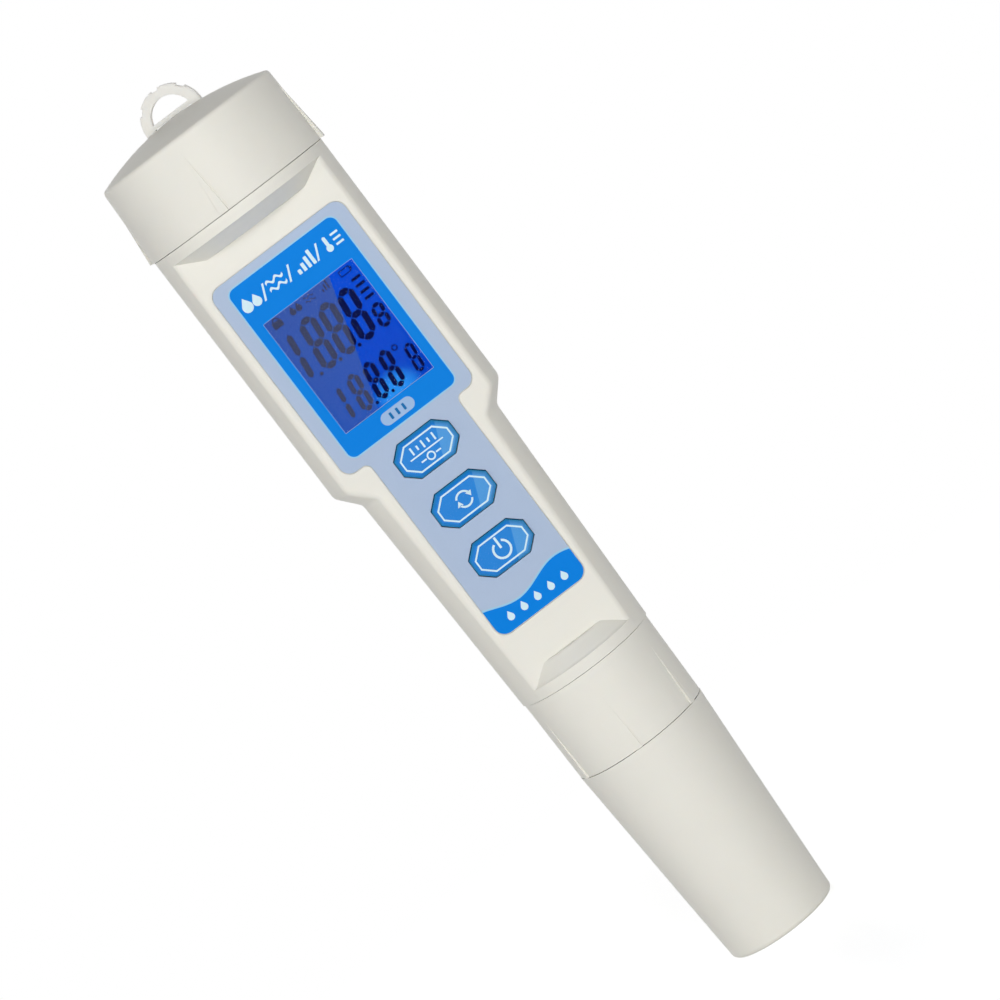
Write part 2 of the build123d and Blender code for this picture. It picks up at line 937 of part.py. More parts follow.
def sensor_body():
    """Moulded probe body: plug, flange, barrel and the slotted guard at the tip."""
    barrel = barrel_diameter / 2
    guard = guard_diameter / 2
    body = turned(
        [
            (0, guard_tip),
            (guard - module_edge, guard_tip),
            (guard, guard_tip + module_edge),
            (guard, barrel_end - guard_step),
            (barrel, barrel_end),
            (barrel, flange_low),
            (module_flange_diameter / 2, flange_low),
            (module_flange_diameter / 2, flange_high),
            (plug_diameter / 2, flange_high),
            (plug_diameter / 2, plug_top - module_edge),
            (plug_diameter / 2 - module_edge, plug_top),
            (0, plug_top),
        ]
    )
    body = body - rod(2 * guard_bore, guard_tip - 1, potting_face + potting_thickness)
    body = body - seal_groove(plug_seal_radius, plug_seal_z)
    body = body - seal_groove(barrel_seal_radius, barrel_seal_z)
    slot_top = guard_tip + guard_slot_height
    straight = slot_top - guard_slot / 2
    window = Pos(0, straight - guard_slot_height) * Rectangle(guard_slot, 2 * guard_slot_height)
    window = window + Pos(0, straight) * Circle(guard_slot / 2)
    for turn in (45, 135):
        body = body - Rot(0, 0, turn) * from_front(window, -guard - 1, guard + 1)
    for hole in sensing_holes(potting_face, seat_top):
        body = body - hole
    for x, y in pin_places():
        body = body - rod(pin_diameter + 0.04, plug_top - 3, plug_top + 1, x, y)
    return body


def potting_disc():
    disc = rod(2 * guard_bore - 0.06, potting_face, potting_face + potting_thickness)
    for hole in sensing_holes(potting_face - 1, seat_top):
        disc = disc - hole
    return disc


def ph_glass_bulb():
    """Thin glass bulb on a glass tube, open inside and closed at the top."""
    bulb = bulb_diameter / 2
    tube = bulb_tube_diameter / 2
    centre = bulb_tip + bulb
    outer = Pos(0, 0, centre) * Sphere(bulb) + rod(2 * tube, centre, seat_top)
    inner = Pos(0, 0, centre) * Sphere(bulb - bulb_wall)
    inner = inner + rod(2 * (tube - bulb_wall), centre, seat_top - bulb_wall)
    return Pos(0, bulb_offset, 0) * (outer - inner)


def silver_wire():
    low = bulb_tip + bulb_diameter / 2
    return rod(wire_diameter, low, seat_top - bulb_wall, 0, bulb_offset)


def conductivity_pins():
    pins = []
    for x, y in conductivity_places():
        radius = conductivity_pin_diameter / 2
        tip = conductivity_pin_tip
        tip_round = tip_round_share * radius
        pin = turned([(0, tip), (radius, tip, tip_round), (radius, seat_top), (0, seat_top)])
        pins.append(Pos(x, y, 0) * pin)
    return pins


def temperature_probe():
    radius = probe_diameter / 2
    tip_round = tip_round_share * radius
    probe = turned([(0, probe_tip), (radius, probe_tip, tip_round), (radius, seat_top), (0, seat_top)])
    return Pos(0, -probe_offset, 0) * probe


def reference_junction():
    return rod(junction_diameter, potting_face - junction_proud, seat_top, -junction_offset, 1.2)


def connector_pins():
    """Row of pins on the plug that enters the socket on the board."""
    return [
        rod(pin_diameter, plug_top - 3, plug_top + pin_length, x, y) for x, y in pin_places()
    ]


def sensor_socket():
    """Socket at the lower end of the board, with a hole for each pin."""
    low = socket_low
    high = board_low
    centre = board_face + board_thickness / 2
    body = Pos(0, centre, (low + high) / 2) * Box(socket_width, socket_depth, high - low)
    for x, y in pin_places():
        body = body - rod(pin_diameter + 2 * pin_gap, low - 1, high - 0.8, x, y)
    tails = Pos(0, board_face - 0.6, high + 1.0) * Box(socket_width - 1.2, 1.2, 2.0)
    return body + tails


def sensor_cap():
    """Long tapered cup that covers the sensor and holds its sponge."""
    foot = sensor_cap_base_diameter / 2
    mouth = sensor_cap_mouth_diameter / 2
    high = collar_low - seam_gap
    floor_radius = foot - sensor_cap_wall
    return turned(
        [
            (0, 0),
            (foot, 0, sensor_cap_base_round),
            (mouth, high),
            (sensor_cap_bore + cap_mouth_edge, high),
            (sensor_cap_bore, high - 2 * cap_mouth_edge),
            (sensor_cap_bore, barrel_end),
            (floor_radius, sensor_cap_floor),
            (0, sensor_cap_floor),
        ]
    )


def wetting_sponge():
    """Round sponge on the floor of the sensor cap."""
    radius = sensor_cap_base_diameter / 2 - sensor_cap_wall - sponge_gap
    low = sensor_cap_floor
    high = low + sponge_thickness
    edge = sponge_edge
    return turned([(0, low), (radius, low), (radius, high - edge), (radius - edge, high), (0, high)])


def all_parts():
    parts = {
        "main_housing": main_housing(),
        "front_film": front_film(),
        "display_window": display_window(),
        "lcd_glass": lcd_glass(),
        "lcd_frame": lcd_frame(),
        "contact_strips": contact_strips(),
        "backlight_panel": backlight_panel(),
        "main_board": main_board(),
        "board_components": board_components(),
        "board_screws": board_screws(),
        "key_switches": key_switches(),
        "inner_chassis": inner_chassis(),
        "sensor_socket": sensor_socket(),
        "battery_holder": battery_holder(),
        "battery_contacts": battery_contacts(),
        "button_cells": button_cells(),
        "battery_cap": battery_cap(),
        "battery_cap_seal": battery_cap_seal(),
        "cap_contact_plate": cap_contact_plate(),
        "lanyard_loop": lanyard_loop(),
        "sensor_collar": sensor_collar(),
        "sensor_body": sensor_body(),
        "plug_seal": ring_seal(plug_seal_radius, seal_section, plug_seal_z),
        "barrel_seal": ring_seal(barrel_seal_radius, seal_section, barrel_seal_z),
        "connector_pins": connector_pins(),
        "potting_disc": potting_disc(),
        "ph_glass_bulb": ph_glass_bulb(),
        "silver_wire": silver_wire(),
        "conductivity_pins": conductivity_pins(),
        "temperature_probe": temperature_probe(),
        "reference_junction": reference_junction(),
        "sensor_cap": sensor_cap(),
        "wetting_sponge": wetting_sponge(),
    }
    for name, height in zip(key_names, key_heights):
        parts[name + "_button"] = key_cap(height)
        parts[name + "_plunger"] = key_plunger(height)
    return parts


def write_parts():
    os.makedirs("parts", exist_ok=True)
    for name, solids in all_parts().items():
        shape = Compound(children=solids) if isinstance(solids, list) else solids
        export_step(shape, f"parts/{name}.step")


write_parts()
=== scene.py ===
"""Looks of a pen-shaped water tester: finishes, print, display marks, threads, light and camera.

The pen stands upright on its sensor cap. Its flat front with the display faces -Y.
Lengths on the pen are written in millimetres and turned into metres by MM.
"""

import json
import math
from collections import namedtuple

import bpy
from mathutils import Matrix, Vector


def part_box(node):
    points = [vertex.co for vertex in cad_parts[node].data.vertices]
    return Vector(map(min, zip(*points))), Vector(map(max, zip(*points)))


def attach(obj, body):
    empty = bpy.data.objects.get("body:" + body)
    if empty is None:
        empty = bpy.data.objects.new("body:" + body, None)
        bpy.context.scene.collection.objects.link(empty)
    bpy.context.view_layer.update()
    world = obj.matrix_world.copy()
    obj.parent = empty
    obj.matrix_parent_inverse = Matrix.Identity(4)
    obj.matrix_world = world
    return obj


MM = 0.001
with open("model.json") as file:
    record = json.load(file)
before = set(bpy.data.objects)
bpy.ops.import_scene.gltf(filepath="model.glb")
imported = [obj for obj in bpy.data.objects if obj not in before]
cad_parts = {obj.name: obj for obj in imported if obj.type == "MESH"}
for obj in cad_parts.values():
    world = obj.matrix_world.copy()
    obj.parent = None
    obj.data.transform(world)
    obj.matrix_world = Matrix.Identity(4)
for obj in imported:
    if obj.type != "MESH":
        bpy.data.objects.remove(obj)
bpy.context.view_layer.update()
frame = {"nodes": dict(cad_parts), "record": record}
nodes = frame["nodes"]


# Places on the front face, read from the frame
def span(node):
    """Lowest and highest corner of a CAD node in millimetres."""
    low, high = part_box(node)
    return low / MM, high / MM


film_low = span("front_film")[0]
film_face = film_low.y
glass_face = span("lcd_glass")[0].y
pane_low, pane_high = span("display_window")
pane_border = 1.6
window_half = pane_high.x - pane_border
window_low = pane_low.z + pane_border
window_high = pane_high.z - pane_border
window_middle = (window_low + window_high) / 2

key_names = ("calibrate", "mode", "power")
key_boxes = [span(name + "_button") for name in key_names]
key_spans = [(low.z, high.z) for low, high in key_boxes]
key_face = key_boxes[0][0].y
key_line_outer = (10.6, 5.8, (2.1, 1.9))
key_line_inner = (10.0, 5.2, (1.95, 1.75))

# Print on the film: thickness of an ink, panel, title row, pill and wave
ink = 0.02
film_roughness = 0.34
panel_half = 12.0
panel_low = window_low - 4.7
panel_high = window_high + 8.6
panel_corner = 1.7
film_line = 0.22
film_foot_half = 9.7
window_overlap = 0.1
title_height = window_high + 4.6
title_size = 2.9
pill_height = window_low - 2.35
pill_width = 7.0
pill_size = 2.5
wave_middle = 5.1
wave_rise = 1.15
wave_crest = 6.6
wave_half_length = 9.4
wave_line_width = 0.3
wave_corner = 2.1
wave_margin = 0.05

# Screw threads: each stands on the wall of a radius, between two heights
Thread = namedtuple("Thread", "name body radius low high")
neck_thread = Thread("neck_thread", "housing", 16.4, 166.2, 175.2)
cap_thread = Thread("cap_thread", "battery_cover", 16.75, 166.4, 174.4)
spigot_thread = Thread("spigot_thread", "housing", 11.7, 51.4, 60.0)
collar_thread = Thread("collar_thread", "union_collar", 12.05, 50.6, 59.8)
cap_pitch = 2.0
cap_ridge_width = 0.8
collar_pitch = 2.5
collar_ridge_width = 0.9
ridge_depth = 0.4
ridge_top_share = 0.4

# Marks of the display, and the slanting edge of the painted reflection over its left part
digit_slant = math.tan(math.radians(6))
digit_gap = 0.09
upper_digits = window_low + 10.7
lower_digits = window_low + 0.6
display_sign_row = window_high - 1.2
reflection_top = 4.8
reflection_low = -2.5

# Floor: how far from the pen its shadow shows in full, and where it has faded out
shadow_reach = 110.0
shadow_end = 260.0


# Shader tools


class Value:
    """A socket of a finish that sums and products can be written with."""

    def __init__(self, finish, socket):
        self.finish = finish
        self.socket = socket

    def __add__(self, other):
        return self.finish.math("ADD", self, other)

    def __radd__(self, other):
        return self.finish.math("ADD", other, self)

    def __sub__(self, other):
        return self.finish.math("SUBTRACT", self, other)

    def __rsub__(self, other):
        return self.finish.math("SUBTRACT", other, self)

    def __mul__(self, other):
        return self.finish.math("MULTIPLY", self, other)

    def __rmul__(self, other):
        return self.finish.math("MULTIPLY", other, self)

    def __truediv__(self, other):
        return self.finish.math("DIVIDE", self, other)

    def __rtruediv__(self, other):
        return self.finish.math("DIVIDE", other, self)

    def __pow__(self, other):
        return self.finish.math("POWER", self, other)


def colour(red, green, blue):
    """A colour written as it looks on screen, 0 to 255, as the shader takes it."""

    def linear(level):
        level = level / 255
        return level / 12.92 if level <= 0.04045 else ((level + 0.055) / 1.055) ** 2.4

    return (linear(red), linear(green), linear(blue), 1.0)


class Finish:
    """A material, or the world, whose nodes are written as Python expressions."""

    def __init__(self, name, owner=None):
        self.material = owner or bpy.data.materials.new(name)
        self.material.use_nodes = True
        self.tree = self.material.node_tree
        self.tree.nodes.clear()
        self.place = None

    def node(self, kind, settings=None, sockets=None, output=0):
        """Adds a node: its settings first, then values or links of its sockets."""
        made = self.tree.nodes.new(kind)
        for key, value in (settings or {}).items():
            setattr(made, key, value)
        for key, value in (sockets or {}).items():
            if isinstance(value, Value):
                self.tree.links.new(value.socket, made.inputs[key])
            else:
                made.inputs[key].default_value = value
        return Value(self, made.outputs[output]) if len(made.outputs) else None

    def math(self, operation, *values):
        return self.node("ShaderNodeMath", {"operation": operation}, dict(enumerate(values)))

    def most(self, one, other):
        return self.math("MAXIMUM", one, other)

    def millimetres(self):
        """Object coordinates in millimetres, as one vector."""
        if self.place is None:
            place = self.node("ShaderNodeTexCoord", output="Object")
            self.place = self.scaled(place, 1 / MM)
        return self.place

    def scaled(self, vector, factor):
        return self.node(
            "ShaderNodeVectorMath", {"operation": "SCALE"}, {0: vector, "Scale": factor}
        )

    def stretched(self, vector, factors):
        return self.node("ShaderNodeVectorMath", {"operation": "MULTIPLY"}, {0: vector, 1: factors})

    def axes(self):
        """The X, Y and Z of the place in millimetres."""
        split = self.node("ShaderNodeSeparateXYZ", None, {0: self.millimetres()})
        return [Value(self, socket) for socket in split.socket.node.outputs]

    def noise(self, size, detail=2.0, roughness=0.5, vector=None):
        """Soft noise from 0 to 1 whose lumps are about size millimetres across."""
        sockets = {
            "Vector": vector or self.millimetres(),
            "Scale": 1 / size,
            "Detail": detail,
            "Roughness": roughness,
        }
        return self.node("ShaderNodeTexNoise", None, sockets, "Fac")

    def cells(self, size, feature="F1"):
        sockets = {"Vector": self.millimetres(), "Scale": 1 / size}
        return self.node("ShaderNodeTexVoronoi", {"feature": feature}, sockets, "Distance")

    def ease(self, value, start, end):
        """0 before start, 1 after end, smooth between."""
        sockets = {"Value": value, "From Min": start, "From Max": end}
        return self.node("ShaderNodeMapRange", {"interpolation_type": "SMOOTHSTEP"}, sockets)

    def blend(self, factor, one, other):
        """Colour mixed from one to other by the factor."""
        return self.node(
            "ShaderNodeMix", {"data_type": "RGBA"}, {0: factor, 6: one, 7: other}, output=2
        )

    def shade(self, value, amount, base):
        """Base colour made a little darker and lighter by a value from 0 to 1."""
        dark = tuple(part * (1 - amount) for part in base[:3]) + (1.0,)
        highlight_tint = tuple(min(1.0, part * (1 + amount)) for part in base[:3]) + (1.0,)
        return self.blend(value, dark, highlight_tint)

    def bump(self, height, depth, strength=1.0):
        """Bump from a height from 0 to 1 whose full depth is given in millimetres."""
        sockets = {"Height": height, "Distance": depth * MM, "Strength": strength}
        return self.node("ShaderNodeBump", None, sockets, "Normal")

    def surface(self, **sockets):
        """Ends the finish with a Principled shader. Socket names use _ for a space."""
        named = {key.replace("_", " "): value for key, value in sockets.items()}
        shader = self.node("ShaderNodeBsdfPrincipled", None, named)
        self.node("ShaderNodeOutputMaterial", None, {"Surface": shader})
        return self.material


# Finishes


def moulded(name, base, roughness=0.42, grain=0.35, depth=0.006, mottle=0.02, **constants):
    """Injection-moulded plastic with a fine satin grain and faint cloudiness."""
    finish = Finish(name)
    cloud = finish.noise(9.0, detail=3.0)
    grains = finish.noise(grain, detail=3.0, roughness=0.6)
    tint = finish.shade(cloud, mottle, base)
    rough = roughness + (grains - 0.5) * 0.12 + (cloud - 0.5) * 0.06
    normal = finish.bump(grains, depth)
    return finish.surface(Base_Color=tint, Roughness=rough, Normal=normal, **constants)


def ivory_shell():
    return moulded(
        "ivory_shell",
        colour(236, 234, 225),
        roughness=0.44,
        Subsurface_Weight=0.08,
        Subsurface_Radius=(1.0, 0.75, 0.5),
        Subsurface_Scale=0.0012,
    )


def loop_plastic():
    return moulded(
        "loop_plastic",
        colour(238, 236, 230),
        roughness=0.36,
        Subsurface_Weight=0.35,
        Subsurface_Radius=(1.0, 0.9, 0.8),
        Subsurface_Scale=0.0018,
    )


def printed_film():
    """Hard polycarbonate film with a fine velvet grain."""
    finish = Finish("printed_film")
    grains = finish.noise(0.16, detail=2.0, roughness=0.7)
    cloud = finish.noise(6.0, detail=2.0)
    tint = finish.shade(grains * 0.7 + cloud * 0.3, 0.05, colour(176, 193, 218))
    rough = film_roughness + (grains - 0.5) * 0.16
    return finish.surface(
        Base_Color=tint,
        Roughness=rough,
        Normal=finish.bump(grains, 0.003),
        Specular_IOR_Level=0.15,
    )


def key_blue():
    """Blue keys, with painted shade down their bevel and a painted highlight as a lighter facet at the
    upper right.
    """
    finish = Finish("key_blue")
    x, y, z = finish.axes()
    bevel_start, bevel_end = key_face + 0.12, key_face + 0.8
    highlight_place, highlight_lean = 2.6, 0.42
    top = 1 - finish.ease(y, bevel_start, bevel_end)
    base = colour(24, 130, 217)
    # Painted shade: duller, darker blue down the bevel of each key
    bevel_shade = colour(30, 132, 182)
    # Painted highlight: lighter blue of the facet at the upper right of each key
    highlight_tint = colour(96, 170, 226)
    # Mask of the painted highlight, a lighter facet at the upper right of each key
    painted_highlight = 0.0
    for low, high in key_spans:
        middle = (low + high) / 2
        edge = x - highlight_place - (z - middle) * highlight_lean
        here = finish.ease(z, low, low + 0.1) * (1 - finish.ease(z, high - 0.1, high))
        painted_highlight = finish.ease(edge, 0.0, 0.25) * here + painted_highlight
    grains = finish.noise(0.2, detail=2.0)
    tint = finish.blend(top, bevel_shade, finish.blend(painted_highlight * 0.55, base, highlight_tint))
    tint = finish.blend(grains * 0.08, tint, colour(60, 150, 230))
    return finish.surface(
        Base_Color=tint,
        Roughness=0.26 + (grains - 0.5) * 0.1,
        Normal=finish.bump(grains, 0.002),
        Specular_IOR_Level=0.2,
    )


def ink_finish(name, base):
    """Printed ink on the film, with the grain of the film showing through."""
    finish = Finish(name)
    grains = finish.noise(0.16, detail=2.0, roughness=0.7)
    cloud = finish.noise(7.0, detail=2.0)
    tint = finish.shade(grains * 0.6 + cloud * 0.4, 0.04, base)
    rough = film_roughness + (grains - 0.5) * 0.14
    return finish.surface(
        Base_Color=tint,
        Roughness=rough,
        Normal=finish.bump(grains, 0.003),
        Specular_IOR_Level=0.06,
    )


def reflection_mask(finish):
    """1 in the left part of the display, under the painted reflection, and 0 right of its slanting
    edge.
    """
    x, y, z = finish.axes()
    lean = (reflection_top - reflection_low) / (window_high - window_low)
    edge = (z - window_low) * lean + reflection_low
    return 1 - finish.ease(x - edge, -0.12, 0.12)


def display_glass():
    """Lit display: a painted reflection makes it hazy on the left, deep blue on the right, a cyan glow
    at its foot.
    """
    finish = Finish("display_glass")
    x, y, z = finish.axes()
    up = (z - window_low) / (window_high - window_low)
    cloud = finish.noise(7.0, detail=2.0)
    deep = finish.blend(up, colour(3, 61, 186), colour(3, 71, 208))
    deep = finish.blend(cloud * 0.25, deep, colour(8, 88, 226))
    # Painted reflection: the paler, hazier blue of the left part of the display
    reflected_tint = finish.blend(up, colour(44, 84, 176), colour(56, 86, 166))
    glow = finish.blend(reflection_mask(finish), deep, reflected_tint)
    foot = 1 - finish.ease(((x - 2.4) / 5.5) ** 2 + (up / 0.2) ** 2, 0.0, 1.0)
    glow = finish.blend(foot * 0.75, glow, colour(44, 158, 250))
    return finish.surface(
        Base_Color=colour(4, 8, 30),
        Roughness=0.12 + cloud * 0.04,
        Specular_IOR_Level=0.0,
        Emission_Color=glow,
        Emission_Strength=1.0,
    )


def display_ink():
    """Dark liquid crystal of the digits, shown by a glow in place of lamp light, and greyer on the left
    under the painted reflection.
    """
    finish = Finish("display_ink")
    cloud = finish.noise(3.0, detail=2.0)
    dark = finish.blend(cloud * 0.3, colour(5, 12, 58), colour(8, 22, 84))
    # Painted reflection: the digits turn grey in the left part of the display
    reflected_grey = finish.blend(cloud * 0.3, colour(58, 64, 92), colour(74, 80, 106))
    return finish.surface(
        Base_Color=colour(3, 5, 16),
        Roughness=0.4 + cloud * 0.1,
        Specular_IOR_Level=0.0,
        # The digits' colour is a glow that stands in for lamp light on them
        Emission_Color=finish.blend(reflection_mask(finish), dark, reflected_grey),
        Emission_Strength=1.0,
    )


def clear_pane():
    finish = Finish("clear_pane")
    haze = finish.noise(3.0, detail=3.0)
    return finish.surface(
        Base_Color=colour(250, 251, 252),
        Roughness=0.01 + haze * 0.01,
        IOR=1.06,
        Transmission_Weight=1.0,
    )


def sensor_glass():
    finish = Finish("sensor_glass")
    swirl = finish.noise(1.6, detail=2.0)
    return finish.surface(
        Base_Color=finish.shade(swirl, 0.04, colour(226, 238, 238)),
        Roughness=0.03 + swirl * 0.03,
        IOR=1.5,
        Transmission_Weight=0.9,
    )


def light_guide():
    finish = Finish("light_guide")
    dots = finish.cells(0.7)
    tint = finish.blend(finish.ease(dots, 0.1, 0.3), colour(250, 252, 255), colour(214, 226, 240))
    return finish.surface(Base_Color=tint, Roughness=0.3 + dots * 0.1, Normal=finish.bump(dots, 0.02))


def circuit_board():
    """Green lacquer over copper tracks, with a fine weave under it."""
    finish = Finish("circuit_board")
    x, y, z = finish.axes()
    lanes = finish.cells(2.2, feature="DISTANCE_TO_EDGE")
    tracks = 1 - finish.ease(lanes, 0.05, 0.09)
    weave = finish.math("SINE", x * 12.0) * finish.math("SINE", z * 12.0) * 0.5 + 0.5
    lacquer = finish.blend(tracks, colour(18, 84, 48), colour(42, 122, 66))
    tint = finish.blend(weave * 0.12, lacquer, colour(60, 130, 80))
    return finish.surface(
        Base_Color=tint,
        Roughness=0.28 + weave * 0.06,
        Normal=finish.bump(tracks + weave * 0.1, 0.02),
    )


def rubber(name, base, roughness=0.62):
    finish = Finish(name)
    grains = finish.noise(0.25, detail=4.0, roughness=0.7)
    bloom = finish.noise(5.0, detail=2.0)
    tint = finish.shade(grains * 0.4 + bloom * 0.6, 0.12, base)
    rough = roughness + (grains - 0.5) * 0.2
    return finish.surface(Base_Color=tint, Roughness=rough, Normal=finish.bump(grains, 0.02))


def strip_rubber():
    """Layered rubber, pink silicone with fine dark conducting lines."""
    finish = Finish("strip_rubber")
    x = finish.axes()[0]
    layers = finish.ease(finish.math("SINE", x * 2 * math.pi / 0.5), -0.2, 0.2)
    tint = finish.blend(layers, colour(196, 120, 124), colour(38, 36, 38))
    return finish.surface(
        Base_Color=tint, Roughness=0.5 + layers * 0.1, Normal=finish.bump(layers, 0.01)
    )


def metal(name, base, roughness=0.25, brush=(1, 1, 14), depth=0.003):
    """Plated or drawn metal with fine lines along one way and small stains."""
    finish = Finish(name)
    lines = finish.noise(0.5, detail=3.0, vector=finish.stretched(finish.millimetres(), brush))
    stains = finish.noise(2.5, detail=4.0)
    tint = finish.shade(stains, 0.08, base)
    rough = roughness + (lines - 0.5) * 0.18 + (stains - 0.5) * 0.12
    return finish.surface(
        Base_Color=tint, Roughness=rough, Metallic=1.0, Normal=finish.bump(lines, depth)
    )


def resin():
    finish = Finish("resin")
    flow = finish.noise(2.2, detail=3.0)
    specks = finish.cells(0.5)
    tint = finish.shade(flow, 0.12, colour(34, 36, 40))
    return finish.surface(
        Base_Color=tint,
        Roughness=0.2 + flow * 0.1,
        Normal=finish.bump(flow + finish.ease(specks, 0.0, 0.1) * 0.2, 0.03),
    )


def ceramic():
    finish = Finish("ceramic")
    pores = finish.cells(0.12)
    # Painted shade: darker colour in the pores, where the bump sinks
    tint = finish.blend(finish.ease(pores, 0.0, 0.4), colour(196, 190, 178), colour(238, 234, 224))
    return finish.surface(Base_Color=tint, Roughness=0.7 + pores * 0.1, Normal=finish.bump(pores, 0.03))


def sponge():
    """Soft damp foam with open pores of two sizes, darker in the pores by painted shade."""
    finish = Finish("sponge")
    wide = finish.ease(finish.cells(0.9), 0.05, 0.4)
    fine = finish.ease(finish.cells(0.35), 0.05, 0.35)
    body = wide * 0.7 + fine * 0.3
    # Painted shade: darker colour in the pores, where the bump sinks
    tint = finish.blend(body, colour(150, 128, 70), colour(232, 214, 150))
    return finish.surface(Base_Color=tint, Roughness=0.85 - wide * 0.1, Normal=finish.bump(body, 0.25))


finishes = {
    "ivory_shell": ivory_shell(),
    "loop_plastic": loop_plastic(),
    "printed_film": printed_film(),
    "key_blue": key_blue(),
    "clear_pane": clear_pane(),
    "display_glass": display_glass(),
    "light_guide": light_guide(),
    "inner_plastic": moulded("inner_plastic", colour(206, 206, 202), 0.46),
    "black_plastic": moulded("black_plastic", colour(34, 34, 36), 0.4, mottle=0.08),
    "circuit_board": circuit_board(),
    "strip_rubber": strip_rubber(),
    "seal_rubber": rubber("seal_rubber", colour(30, 30, 32)),
    "steel": metal("steel", colour(196, 198, 202)),
    "cell_steel": metal("cell_steel", colour(204, 205, 204), 0.2, brush=(8, 8, 1)),
    "gold_plate": metal("gold_plate", colour(236, 196, 112), 0.22),
    "sensor_plastic": moulded("sensor_plastic", colour(226, 224, 216), 0.4),
    "resin": resin(),
    "sensor_glass": sensor_glass(),
    "silver": metal("silver", colour(176, 176, 178), 0.35),
    "ceramic": ceramic(),
    "sponge": sponge(),
}
ink_blue = ink_finish("ink_blue", colour(6, 130, 227))
ink_white = ink_finish("ink_white", colour(214, 238, 248))
ink_line = ink_finish("ink_line", colour(150, 208, 236))
ink_pill = ink_finish("ink_pill", colour(160, 190, 228))
ink_pill_mark = ink_finish("ink_pill_mark", colour(26, 110, 176))
crystal_ink = display_ink()

slots = {entry["node"]: entry["material_slot"] for entry in frame["record"]["subparts"]}


def dress_nodes():
    """Gives each CAD node the finish of its slot in the record."""
    for name, piece in nodes.items():
        made = finishes[slots[name]]
        if not piece.material_slots:
            piece.data.materials.append(made)
        for place in piece.material_slots:
            place.material = made


# Outlines


def arc(x, z, radius, start, end, steps=12):
    """Points along a circle from one angle to another, in degrees."""
    angles = [math.radians(start + (end - start) * step / steps) for step in range(steps + 1)]
    return [(x + radius * math.cos(angle), z + radius * math.sin(angle)) for angle in angles]


def circle(x, z, radius, steps=32):
    return arc(x, z, radius, 0, 360, steps)[:-1]


def rounded(x, z, width, height, radius):
    """Rectangle about its centre with round corners."""
    across = width / 2 - radius
    up = height / 2 - radius
    corners = [(across, up, 0), (-across, up, 90), (-across, -up, 180), (across, -up, 270)]
    points = []
    for right, rise, start in corners:
        points += arc(x + right, z + rise, radius, start, start + 90, 7)
    return points


def chamfered(x, z, width, height, corner):
    """Rectangle about its centre with the corners cut off."""
    across, up = width / 2, height / 2
    return [
        (x + across - corner[0], z - up),
        (x + across, z - up + corner[1]),
        (x + across, z + up - corner[1]),
        (x + across - corner[0], z + up),
        (x - across + corner[0], z + up),
        (x - across, z + up - corner[1]),
        (x - across, z - up + corner[1]),
        (x - across + corner[0], z - up),
    ]


def bar(x, z, width, height):
    return rounded(x, z, width, height, min(width, height) * 0.2)


def band(x, z, inner, outer, start, end):
    """Part of a ring between two angles."""
    return arc(x, z, outer, start, end, 20) + arc(x, z, inner, end, start, 20)


def drop(x, z, size):
    """Water drop with its point upwards."""
    radius = size * 0.36
    low = z - size * 0.5 + radius
    return [(x, z + size * 0.5)] + arc(x, low, radius, 150, 390, 16)


def thermometer(x, z, size):
    """Upright thermometer: a round foot with a stem."""
    foot = size * 0.22
    stem = size * 0.11
    low = z - size * 0.5 + foot
    turn = math.degrees(math.acos(stem / foot))
    return arc(x, low, foot, turn, turn - 360 + 2 * (90 - turn), 16) + arc(
        x, z + size * 0.5 - stem, stem, 180, 0, 6
    )


def slash(x, z, height, width):
    lean = height * 0.22
    half = height / 2
    return [
        (x - lean - width / 2, z - half),
        (x - lean + width / 2, z - half),
        (x + lean + width / 2, z + half),
        (x + lean - width / 2, z + half),
    ]


def ripple(x, z, width, thickness, rise):
    """Short water wave of even thickness."""
    steps = 18
    top = []
    low = []
    for step in range(steps + 1):
        part = step / steps
        wave = rise * math.sin(part * 4 * math.pi)
        across = x - width / 2 + width * part
        top.append((across, z + wave + thickness / 2))
        low.append((across, z + wave - thickness / 2))
    return top + low[::-1]


# Piece tools


def flat_mesh(name, rings, front):
    """Thin mesh from outlines as seen from the front, where inner rings are holes."""
    drawing = bpy.data.curves.new(name, "CURVE")
    drawing.dimensions = "2D"
    drawing.fill_mode = "BOTH"
    drawing.extrude = ink / 2
    for ring in rings:
        spline = drawing.splines.new("POLY")
        spline.points.add(len(ring) - 1)
        for point, (x, z) in zip(spline.points, ring):
            point.co = (x, z, 0, 1)
        spline.use_cyclic_u = True
    holder = bpy.data.objects.new(name, drawing)
    bpy.context.scene.collection.objects.link(holder)
    mesh = plain_mesh(holder, name)
    bpy.data.objects.remove(holder)
    turn = Matrix(((1, 0, 0, 0), (0, 0, -1, front + ink / 2), (0, 1, 0, 0), (0, 0, 0, 1)))
    mesh.transform(Matrix.Scale(MM, 4) @ turn)
    return mesh


def plain_mesh(piece, name):
    """The piece as Blender shows it, with its modifiers worked in."""
    graph = bpy.context.evaluated_depsgraph_get()
    mesh = bpy.data.meshes.new_from_object(piece.evaluated_get(graph))
    mesh.name = name
    return mesh


def add_piece(name, mesh, body, finish):
    """Puts a finished mesh on a body of the pen."""
    mesh.materials.clear()
    mesh.materials.append(finish)
    piece = bpy.data.objects.new(name, mesh)
    bpy.context.scene.collection.objects.link(piece)
    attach(piece, body)


def add_print(name, rings, finish, front=None, body="housing"):
    """One ink on the front, as a thin piece of its own."""
    front = film_face - ink if front is None else front
    add_piece(name, flat_mesh(name, rings, front), body, finish)


# Front print


